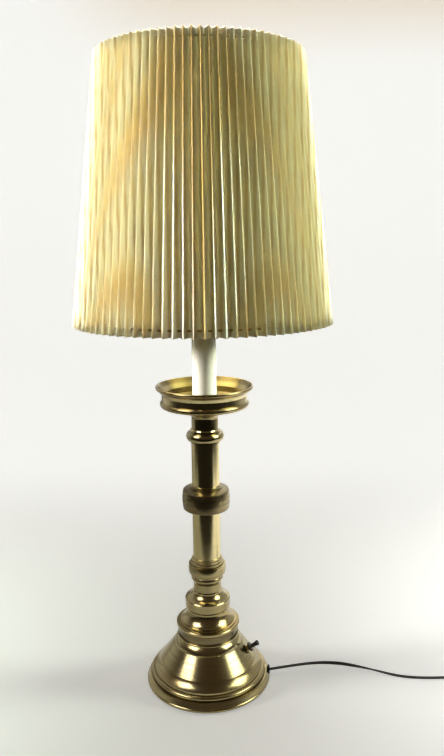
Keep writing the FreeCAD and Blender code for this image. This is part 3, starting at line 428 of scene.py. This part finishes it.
def shadeTree():
    tree, board, tap = geometryTree("accordionPleats", {
        "Pleats": ("NodeSocketInt", 90),
        "Steps": ("NodeSocketInt", 12),
        "Rows": ("NodeSocketInt", 20),
        "Top Radius": ("NodeSocketFloat", 0.15),
        "Bottom Radius": ("NodeSocketFloat", 0.2),
        "Top Depth": ("NodeSocketFloat", 0.016),
        "Bottom Depth": ("NodeSocketFloat", 0.015),
        "Height": ("NodeSocketFloat", 0.38),
        "Hem Height": ("NodeSocketFloat", 0.6),
        "Fold Rounding": ("NodeSocketFloat", 0.07),
        "Unevenness": ("NodeSocketFloat", 0.004),
        "Pleat Cloth": ("NodeSocketFloat", 0.034),
        "Material": ("NodeSocketMaterial", None),
    })
    grid = board.add("GeometryNodeMeshGrid", None, {
        "Size X": 1.0, "Size Y": 1.0, "Vertices X": tap["Pleats"] * tap["Steps"] + 1,
        "Vertices Y": tap["Rows"]})
    x, y, _ = board.axes(board.add("GeometryNodeInputPosition"))
    around = (x + 0.5) * tap["Pleats"]
    up = y + 0.5
    nudged = around + 0.0005  # keeps a pleat's first point out of the one before
    share = nudged.calc("FRACT", nudged)
    swung = share * (4 * math.pi)
    warped = share - swung.calc("SINE", swung) * shadeLook["foldEase"]
    rise = 1 - (warped * 2 - 1).calc("ABSOLUTE", warped * 2 - 1)
    soft = tap["Fold Rounding"]
    nearRidge = (soft - rise).calc("MAXIMUM", soft - rise, 0.0)
    nearValley = (rise - 1 + soft).calc("MAXIMUM", rise - 1 + soft, 0.0)
    fold = rise + (nearRidge * nearRidge - nearValley * nearValley) / (soft * 2)
    ridge = tap["Bottom Radius"] + (tap["Top Radius"] - tap["Bottom Radius"]) * up
    depth = tap["Bottom Depth"] + (tap["Top Depth"] - tap["Bottom Depth"]) * up
    turn = nudged.calc("FLOOR", nudged) + warped
    angle = turn / tap["Pleats"] * (2 * math.pi)
    sway = 0
    for waves, phase, weight in shadeLook["sway"]:
        swing = angle * waves + phase + up * (phase - 1.5) * 0.5
        sway = swing.calc("SINE", swing) * weight + sway
    radius = ridge - depth * fold + sway * shadeLook["swayDepth"]
    heading = angle + sway * tap["Unevenness"]
    place = board.add("ShaderNodeCombineXYZ", None, {
        "X": radius * heading.calc("COSINE", heading),
        "Y": radius * heading.calc("SINE", heading),
        "Z": tap["Hem Height"] + tap["Height"] * up})
    bent = board.add("GeometryNodeSetPosition", None, {"Geometry": grid, "Position": place})
    chart = board.add("ShaderNodeCombineXYZ", None,
                      {"X": turn * tap["Pleat Cloth"], "Y": up * tap["Height"]})
    mapped = board.add("GeometryNodeStoreNamedAttribute",
                       {"data_type": "FLOAT2", "domain": "CORNER"},
                       {"Geometry": bent, "Name": "clothMap", "Value": chart})
    joined = board.add("GeometryNodeMergeByDistance", None,
                       {"Geometry": mapped, "Distance": 0.05 * mm})
    closeTree(tree, board, joined, tap["Material"])
    return tree


def makeShade(cloth):
    low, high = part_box("shade_pleats")
    look = shadeLook
    shade = growMesh("pleatedShade", shadeTree(), {
        "Pleats": look["pleats"],
        "Steps": look["steps"],
        "Rows": look["rows"],
        "Top Radius": look["topRadius"],
        "Bottom Radius": look["bottomRadius"],
        "Top Depth": look["topDepth"],
        "Bottom Depth": look["bottomDepth"],
        "Height": high[2] - low[2],
        "Hem Height": low[2],
        "Fold Rounding": look["foldRounding"],
        "Unevenness": look["unevenness"],
        "Pleat Cloth": look["pitch"],
        "Material": cloth,
    })
    thick = shade.modifiers.new("thickness", "SOLIDIFY")
    thick.thickness = look["cloth"]
    thick.offset = -1
    smoothFaces(shade, 50)
    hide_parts("shade_pleats")
    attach(shade, "shade")
    print("shade: pleats", look["pleats"])


def smoothFaces(piece, limit=35):
    mesh = piece.data
    for face in mesh.polygons:
        face.use_smooth = True
    shape = bmesh.new()
    shape.from_mesh(mesh)
    for edge in shape.edges:
        edge.smooth = edge.is_boundary or edge.calc_face_angle(0) < math.radians(limit)
    shape.to_mesh(mesh)
    shape.free()


cordLook = {
    "width": 5.6 * mm,
    "lobe": 1.45 * mm,
    "spacing": 1.35 * mm,
    "floor": 1.6 * mm,
    "length": 1.8,
    "coilCentre": (0.455, 0.014),
    "turnRadius": 30 * mm,
    "pointsPerTurn": 16,
    "turns": 7,
    "laneStep": 5.9 * mm,  # turns side by side
    "layerStep": 3.1 * mm,
    "crossing": 0.6,  # share of a turn after which it leaves for the next lane
    "coilEntry": 12 * mm,
    "coilExit": 10 * mm,
    "plugGap": 4 * mm,
    "plugInside": 6 * mm,
    "lobePoints": 10,
    "twist": (0.06, 0.22),  # shares of the length between which the cord rolls over
    "colour": (0.035, 0.026, 0.02, 1),
}

# The cord's way over the table, the same points as the solid's route, in metres.
cordRoute = [
    (0.1038, 0.0, 0.0095),
    (0.141, 0.007, 0.011),
    (0.183, 0.013, 0.0125),
    (0.222, 0.013, 0.0115),
    (0.254, 0.0085, 0.008),
    (0.286, 0.001, 0.0044),
    (0.319, -0.011, 0.0018),
    (0.350, -0.0165, 0.0016),
    (0.384, -0.0175, 0.0016),
    (0.405, -0.0162, 0.0016),
    (0.425, -0.016, 0.0016),
]


def coilPoints():
    centreX, centreY = cordLook["coilCentre"]
    steps = cordLook["pointsPerTurn"]
    count = int(cordLook["turns"] * steps + steps / 4)
    lanes = (0.0, cordLook["laneStep"], -cordLook["laneStep"])
    points = []
    for index in range(1, count + 1):
        turn = index / steps
        layer, lane = divmod(int(turn), 3)
        share = turn - int(turn)
        nextLayer, nextLane = divmod(int(turn) + 1, 3)
        ease = max(0.0, (share - cordLook["crossing"]) / (1 - cordLook["crossing"]))
        offset = lanes[lane] * (1 - ease) + lanes[nextLane] * ease
        height = (layer * (1 - ease) + nextLayer * ease) * cordLook["layerStep"]
        angle = turn * 2 * math.pi - math.pi / 2
        radius = cordLook["turnRadius"] + offset
        points.append((centreX + radius * math.cos(angle), centreY + radius * math.sin(angle),
                       cordLook["floor"] + height))
    return points


def cordCurve():
    centreX = cordLook["coilCentre"][0]
    coil = coilPoints()
    plugLow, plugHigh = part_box("plug_body")
    plugX = (plugLow[0] + plugHigh[0]) / 2
    plugZ = (plugLow[2] + plugHigh[2]) / 2
    entry = [(centreX - cordLook["coilEntry"], cordRoute[-1][1], cordLook["floor"])]
    ending = [(plugX, coil[-1][1] + cordLook["coilExit"], (coil[-1][2] + plugZ) / 2),
              (plugX, plugLow[1] - cordLook["plugGap"], plugZ),
              (plugX, plugLow[1] + cordLook["plugInside"], plugZ)]
    points = cordRoute + entry + coil + ending
    curve = bpy.data.curves.new("cordLine", "CURVE")
    curve.dimensions = "3D"
    spline = curve.splines.new("NURBS")
    spline.points.add(len(points) - 1)
    for point, place in zip(spline.points, points):
        point.co = (*place, 1)
    spline.order_u = 3
    spline.use_endpoint_u = True
    spline.resolution_u = 6
    return curve


def cordTree():
    tree, board, tap = geometryTree("twinCord", {
        "Lobe Radius": ("NodeSocketFloat", 0.0014),
        "Lobe Spacing": ("NodeSocketFloat", 0.0014),
        "Lobe Points": ("NodeSocketInt", 10),
        "Twist Start": ("NodeSocketFloat", 0.05),
        "Twist End": ("NodeSocketFloat", 0.2),
        "Material": ("NodeSocketMaterial", None),
    })
    lobe = board.add("GeometryNodeCurvePrimitiveCircle", None,
                     {"Resolution": tap["Lobe Points"], "Radius": tap["Lobe Radius"]})
    sides = []
    for side in (1, -1):
        shift = board.add("ShaderNodeCombineXYZ", None, {"X": tap["Lobe Spacing"] * side})
        sides.append(board.add("GeometryNodeTransform", None,
                               {"Geometry": lobe, "Translation": shift}))
    join = tree.nodes.new("GeometryNodeJoinGeometry")
    for side in reversed(sides):
        tree.links.new(side.socket, join.inputs[0])
    upright = board.add("GeometryNodeSetCurveNormal", {"mode": "Z_UP"}, {"Curve": tap["Geometry"]})
    along = board.add("GeometryNodeSplineParameter", out="Length")
    tilt = board.step(along, tap["Twist Start"], tap["Twist End"]) * math.pi
    turned = board.add("GeometryNodeSetCurveTilt", None, {"Curve": upright, "Tilt": tilt})
    tube = board.add("GeometryNodeCurveToMesh", None,
                     {"Curve": turned, "Profile Curve": Number(tree, join.outputs[0]),
                      "Fill Caps": True})
    shaded = board.add("GeometryNodeSetShadeSmooth", None, {"Geometry": tube})
    closeTree(tree, board, shaded, tap["Material"])
    return tree


def makeCord(vinyl):
    curve = cordCurve()
    bare = bpy.data.objects.new("cordBare", curve)
    line = [tuple(vertex.co) for vertex in bpy.data.meshes.new_from_object(bare).vertices]
    bpy.data.objects.remove(bare)
    cord = growMesh("powerCord", cordTree(), {
        "Lobe Radius": cordLook["lobe"],
        "Lobe Spacing": cordLook["spacing"],
        "Lobe Points": cordLook["lobePoints"],
        "Twist Start": cordLook["twist"][0],
        "Twist End": cordLook["twist"][1],
        "Material": vinyl,
    }, source=curve)
    total = sum((Vector(a) - Vector(b)).length for a, b in zip(line, line[1:]))
    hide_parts("cord", "cord_coil")
    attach(cord, "stand")
    print("cord: length", round(total, 3))


def makeCamera():
    data = bpy.data.cameras.new("photoView")
    data.lens = cameraView["lens"]
    data.sensor_width = 36
    camera = bpy.data.objects.new("photoView", data)
    scene.collection.objects.link(camera)
    tilt = Euler((math.radians(90 - cameraView["pitchDown"]), 0, 0)).to_matrix().to_4x4()
    roll = Matrix.Rotation(math.radians(cameraView["roll"]), 4, "Z")
    camera.matrix_world = Matrix.Translation(cameraView["place"]) @ tilt @ roll
    scene.camera = camera


def stageMaterial():
    material, board = newMaterial("paleSweep")
    path = board.tree.nodes.new("ShaderNodeLightPath")
    seen = Number(board.tree, path.outputs["Is Camera Ray"])
    glossy = Number(board.tree, path.outputs["Is Glossy Ray"])
    diffuse = Number(board.tree, path.outputs["Is Diffuse Ray"])
    # light that the cloth lets through counts as diffuse and stays out
    passing = Number(board.tree, path.outputs["Is Transmission Ray"]) * (1 - diffuse)
    place = board.place()
    x, y, z = board.axes(place)
    look = roomLight
    wall = board.blend(board.step(z, *look["colourRise"]), look["floorColour"],
                       look["backdropColour"])
    shaded = board.step(z, *look["topTintHeights"]) * board.step(x, *look["topTintAcross"])
    tinted = board.blend(shaded, wall, look["topTint"])
    dimmed = glossy * board.step(x, *look["leftTintAcross"])
    colour = board.blend(dimmed, tinted, look["leftTint"])
    paint = board.add("ShaderNodeBsdfDiffuse", None, {"Color": colour})
    added = board.step(y, *look["glowAlong"]) * (look["backGlow"] - look["floorGlow"])
    reach = look["tiltReach"]
    aside = x.calc("MAXIMUM", x.calc("MINIMUM", x, reach), -reach)
    tilted = aside / reach * look["glowTilt"] + 1
    level = (added + look["floorGlow"]) * (seen + passing + glossy * tilted)
    glow = board.add("ShaderNodeEmission", None, {"Color": colour, "Strength": level})
    lit = board.add("ShaderNodeAddShader", None, {0: paint, 1: glow})
    finishMaterial(board, lit)
    return material


def makeStage():
    look = roomLight
    shape = bmesh.new()
    depth, bend, width = look["sweepDepth"], look["sweepBend"], look["sheetWidth"]
    profile = [(look["tableEdge"], 0.0), (depth, 0.0)]
    for index in range(1, look["bendSteps"] + 1):
        angle = math.pi / 2 * index / look["bendSteps"]
        profile.append((depth + bend * math.sin(angle), bend - bend * math.cos(angle)))
    profile.append((depth + bend, look["sweepTop"]))
    rows = [[shape.verts.new((x, y, z)) for x in (-width, width)] for y, z in profile]
    for low, high in zip(rows, rows[1:]):
        face = shape.faces.new((low[0], low[1], high[1], high[0]))
        face.smooth = True
    mesh = bpy.data.meshes.new("sweep")
    shape.to_mesh(mesh)
    shape.free()
    sweep = bpy.data.objects.new("sweep", mesh)
    mesh.materials.append(stageMaterial())
    scene.collection.objects.link(sweep)


def areaLight(name, place, aim, power, colour, across, high):
    data = bpy.data.lights.new(name, "AREA")
    data.shape = "RECTANGLE"
    data.size = across
    data.size_y = high
    data.energy = power
    data.color = colour
    lamp = bpy.data.objects.new(name, data)
    lamp.location = place
    lamp.rotation_euler = (Vector(aim) - Vector(place)).to_track_quat("-Z", "Y").to_euler()
    scene.collection.objects.link(lamp)
    return lamp


def makeLight():
    look = roomLight
    for side in ("left", "right"):
        wall = areaLight(side + "Wall", look[side + "Place"], (0, 0, look["sideAim"]),
                         look[side + "Power"], look[side + "Colour"], look["sideAcross"],
                         look["sideHigh"])
        wall.data.spread = math.radians(look["sideSpread"])
        wall.visible_glossy = False
    for side in ("left", "right"):
        box = areaLight(side + "Box", look[side + "Box"], (0, 0, look["boxAim"]),
                        look[side + "BoxPower"], look[side + "Colour"], look["boxAcross"],
                        look[side + "BoxHigh"])
        box.visible_diffuse = False


def makeWorld():
    look = roomLight
    world = bpy.data.worlds.new("room")
    world.use_nodes = True
    world.node_tree.nodes.clear()
    board = Board(world.node_tree)
    path = world.node_tree.nodes.new("ShaderNodeLightPath")
    glossy = Number(world.node_tree, path.outputs["Is Glossy Ray"])
    diffuse = Number(world.node_tree, path.outputs["Is Diffuse Ray"])
    passing = Number(world.node_tree, path.outputs["Is Transmission Ray"]) * (1 - diffuse)
    seen = Number(world.node_tree, path.outputs["Is Camera Ray"]) + passing
    direction = board.add("ShaderNodeTexCoord", out="Generated")
    _, y, z = board.axes(direction)
    behind = board.step(y, *look["behind"])
    soft = look["fill"] * (behind * (1 - look["frontShare"]) + look["frontShare"])
    level = soft * (1 - glossy) * (1 - seen) + seen * look["seenSky"] + glossy
    front = board.blend(board.step(z, *look["horizon"]), look["frontLow"], look["frontHigh"])
    sky = board.blend(behind, look["skyFront"], look["skyBack"])
    mirrored = board.blend(behind, front, look["mirroredBack"])
    tone = board.blend(glossy, sky, mirrored)
    glow = board.add("ShaderNodeBackground", None, {"Color": tone, "Strength": level})
    board.add("ShaderNodeOutputWorld", None, {"Surface": glow})
    scene.world = world


def dress(names, material):
    for name in names.split():
        mesh = nodes[name].data
        mesh.materials.clear()
        mesh.materials.append(material)


# Finish: the nodes that wear it and the values of its material.
brassFinishes = {
    "polishedBrass": ("base_shell stepped_collar bell_collar lower_neck lower_ring lower_tube "
                      "upper_tube upper_ring pan_neck", {}),
    "agedBrass": ("middle_collar", {"warmth": 0.15, "roughness": 0.2, "age": 0.55}),
    "panBrass": ("drip_pan", {"warmth": 0.3, "roughness": 0.2, "age": 0.15}),
    "brightBrass": ("candle_cap socket_cap socket_shell finial switch_washer plug_blades "
                    "switch_bushing centre_contact", {"warmth": 0.1, "roughness": 0.22}),
}
plainFinishes = {
    "blackMoulding": ("switch_body switch_ring_nut switch_knob cord_grommet socket_interior",
                      {"colour": (0.012, 0.012, 0.012, 1), "roughness": 0.34}),
    "vinylPlug": ("plug_body", {"colour": (0.03, 0.022, 0.018, 1), "roughness": 0.42}),
    "zincSteel": ("threaded_pipe pipe_washer pipe_nut harp_saddle harp_bow harp_sleeve_left "
                  "harp_sleeve_right harp_stud spider_hub spider_arm_1 spider_arm_2 "
                  "spider_arm_3 switch_shaft",
                  {"colour": (0.56, 0.56, 0.54, 1), "roughness": 0.3, "metallic": 1.0}),
    "rustyWire": ("shade_bottom_ring",
                  {"colour": (0.44, 0.28, 0.14, 1), "roughness": 0.6, "tint": 0.4}),
    "paintedWire": ("spider_ring",
                    {"colour": (0.85, 0.80, 0.60, 1), "roughness": 0.5, "tint": 0.15}),
    "castIron": ("base_weight", {"colour": (0.05, 0.05, 0.05, 1), "roughness": 0.7,
                                 "metallic": 0.5, "depth": 0.3 * mm}),
    "greenFelt": ("felt_pad", {"colour": (0.03, 0.075, 0.045, 1), "roughness": 0.95,
                               "grain": 300, "depth": 0.4 * mm, "tint": 0.4}),
    "bulbCap": ("bulb_base screw_shell",
                {"colour": (0.72, 0.72, 0.70, 1), "roughness": 0.28, "metallic": 1.0}),
    "cardLiner": ("socket_liner", {"colour": (0.42, 0.30, 0.17, 1), "roughness": 0.85}),
    "leadInsulation": ("lead_wires", {"colour": (0.03, 0.025, 0.02, 1), "roughness": 0.45}),
}


def dressNodes():
    for name, (pieces, values) in brassFinishes.items():
        dress(pieces, brassMaterial(name, **values))
    for name, (pieces, values) in plainFinishes.items():
        dress(pieces, plainMaterial(name, **values))
    dress("candle_tube", candleMaterial())
    dress("bulb_glass", bulbMaterial())
    print("finishes: done")


scene.view_settings.view_transform = "Standard"
makeCamera()
makeStage()
makeLight()
makeWorld()
dressNodes()
makeShade(clothMaterial())
makeCord(plainMaterial("cordVinyl", cordLook["colour"], 0.38))
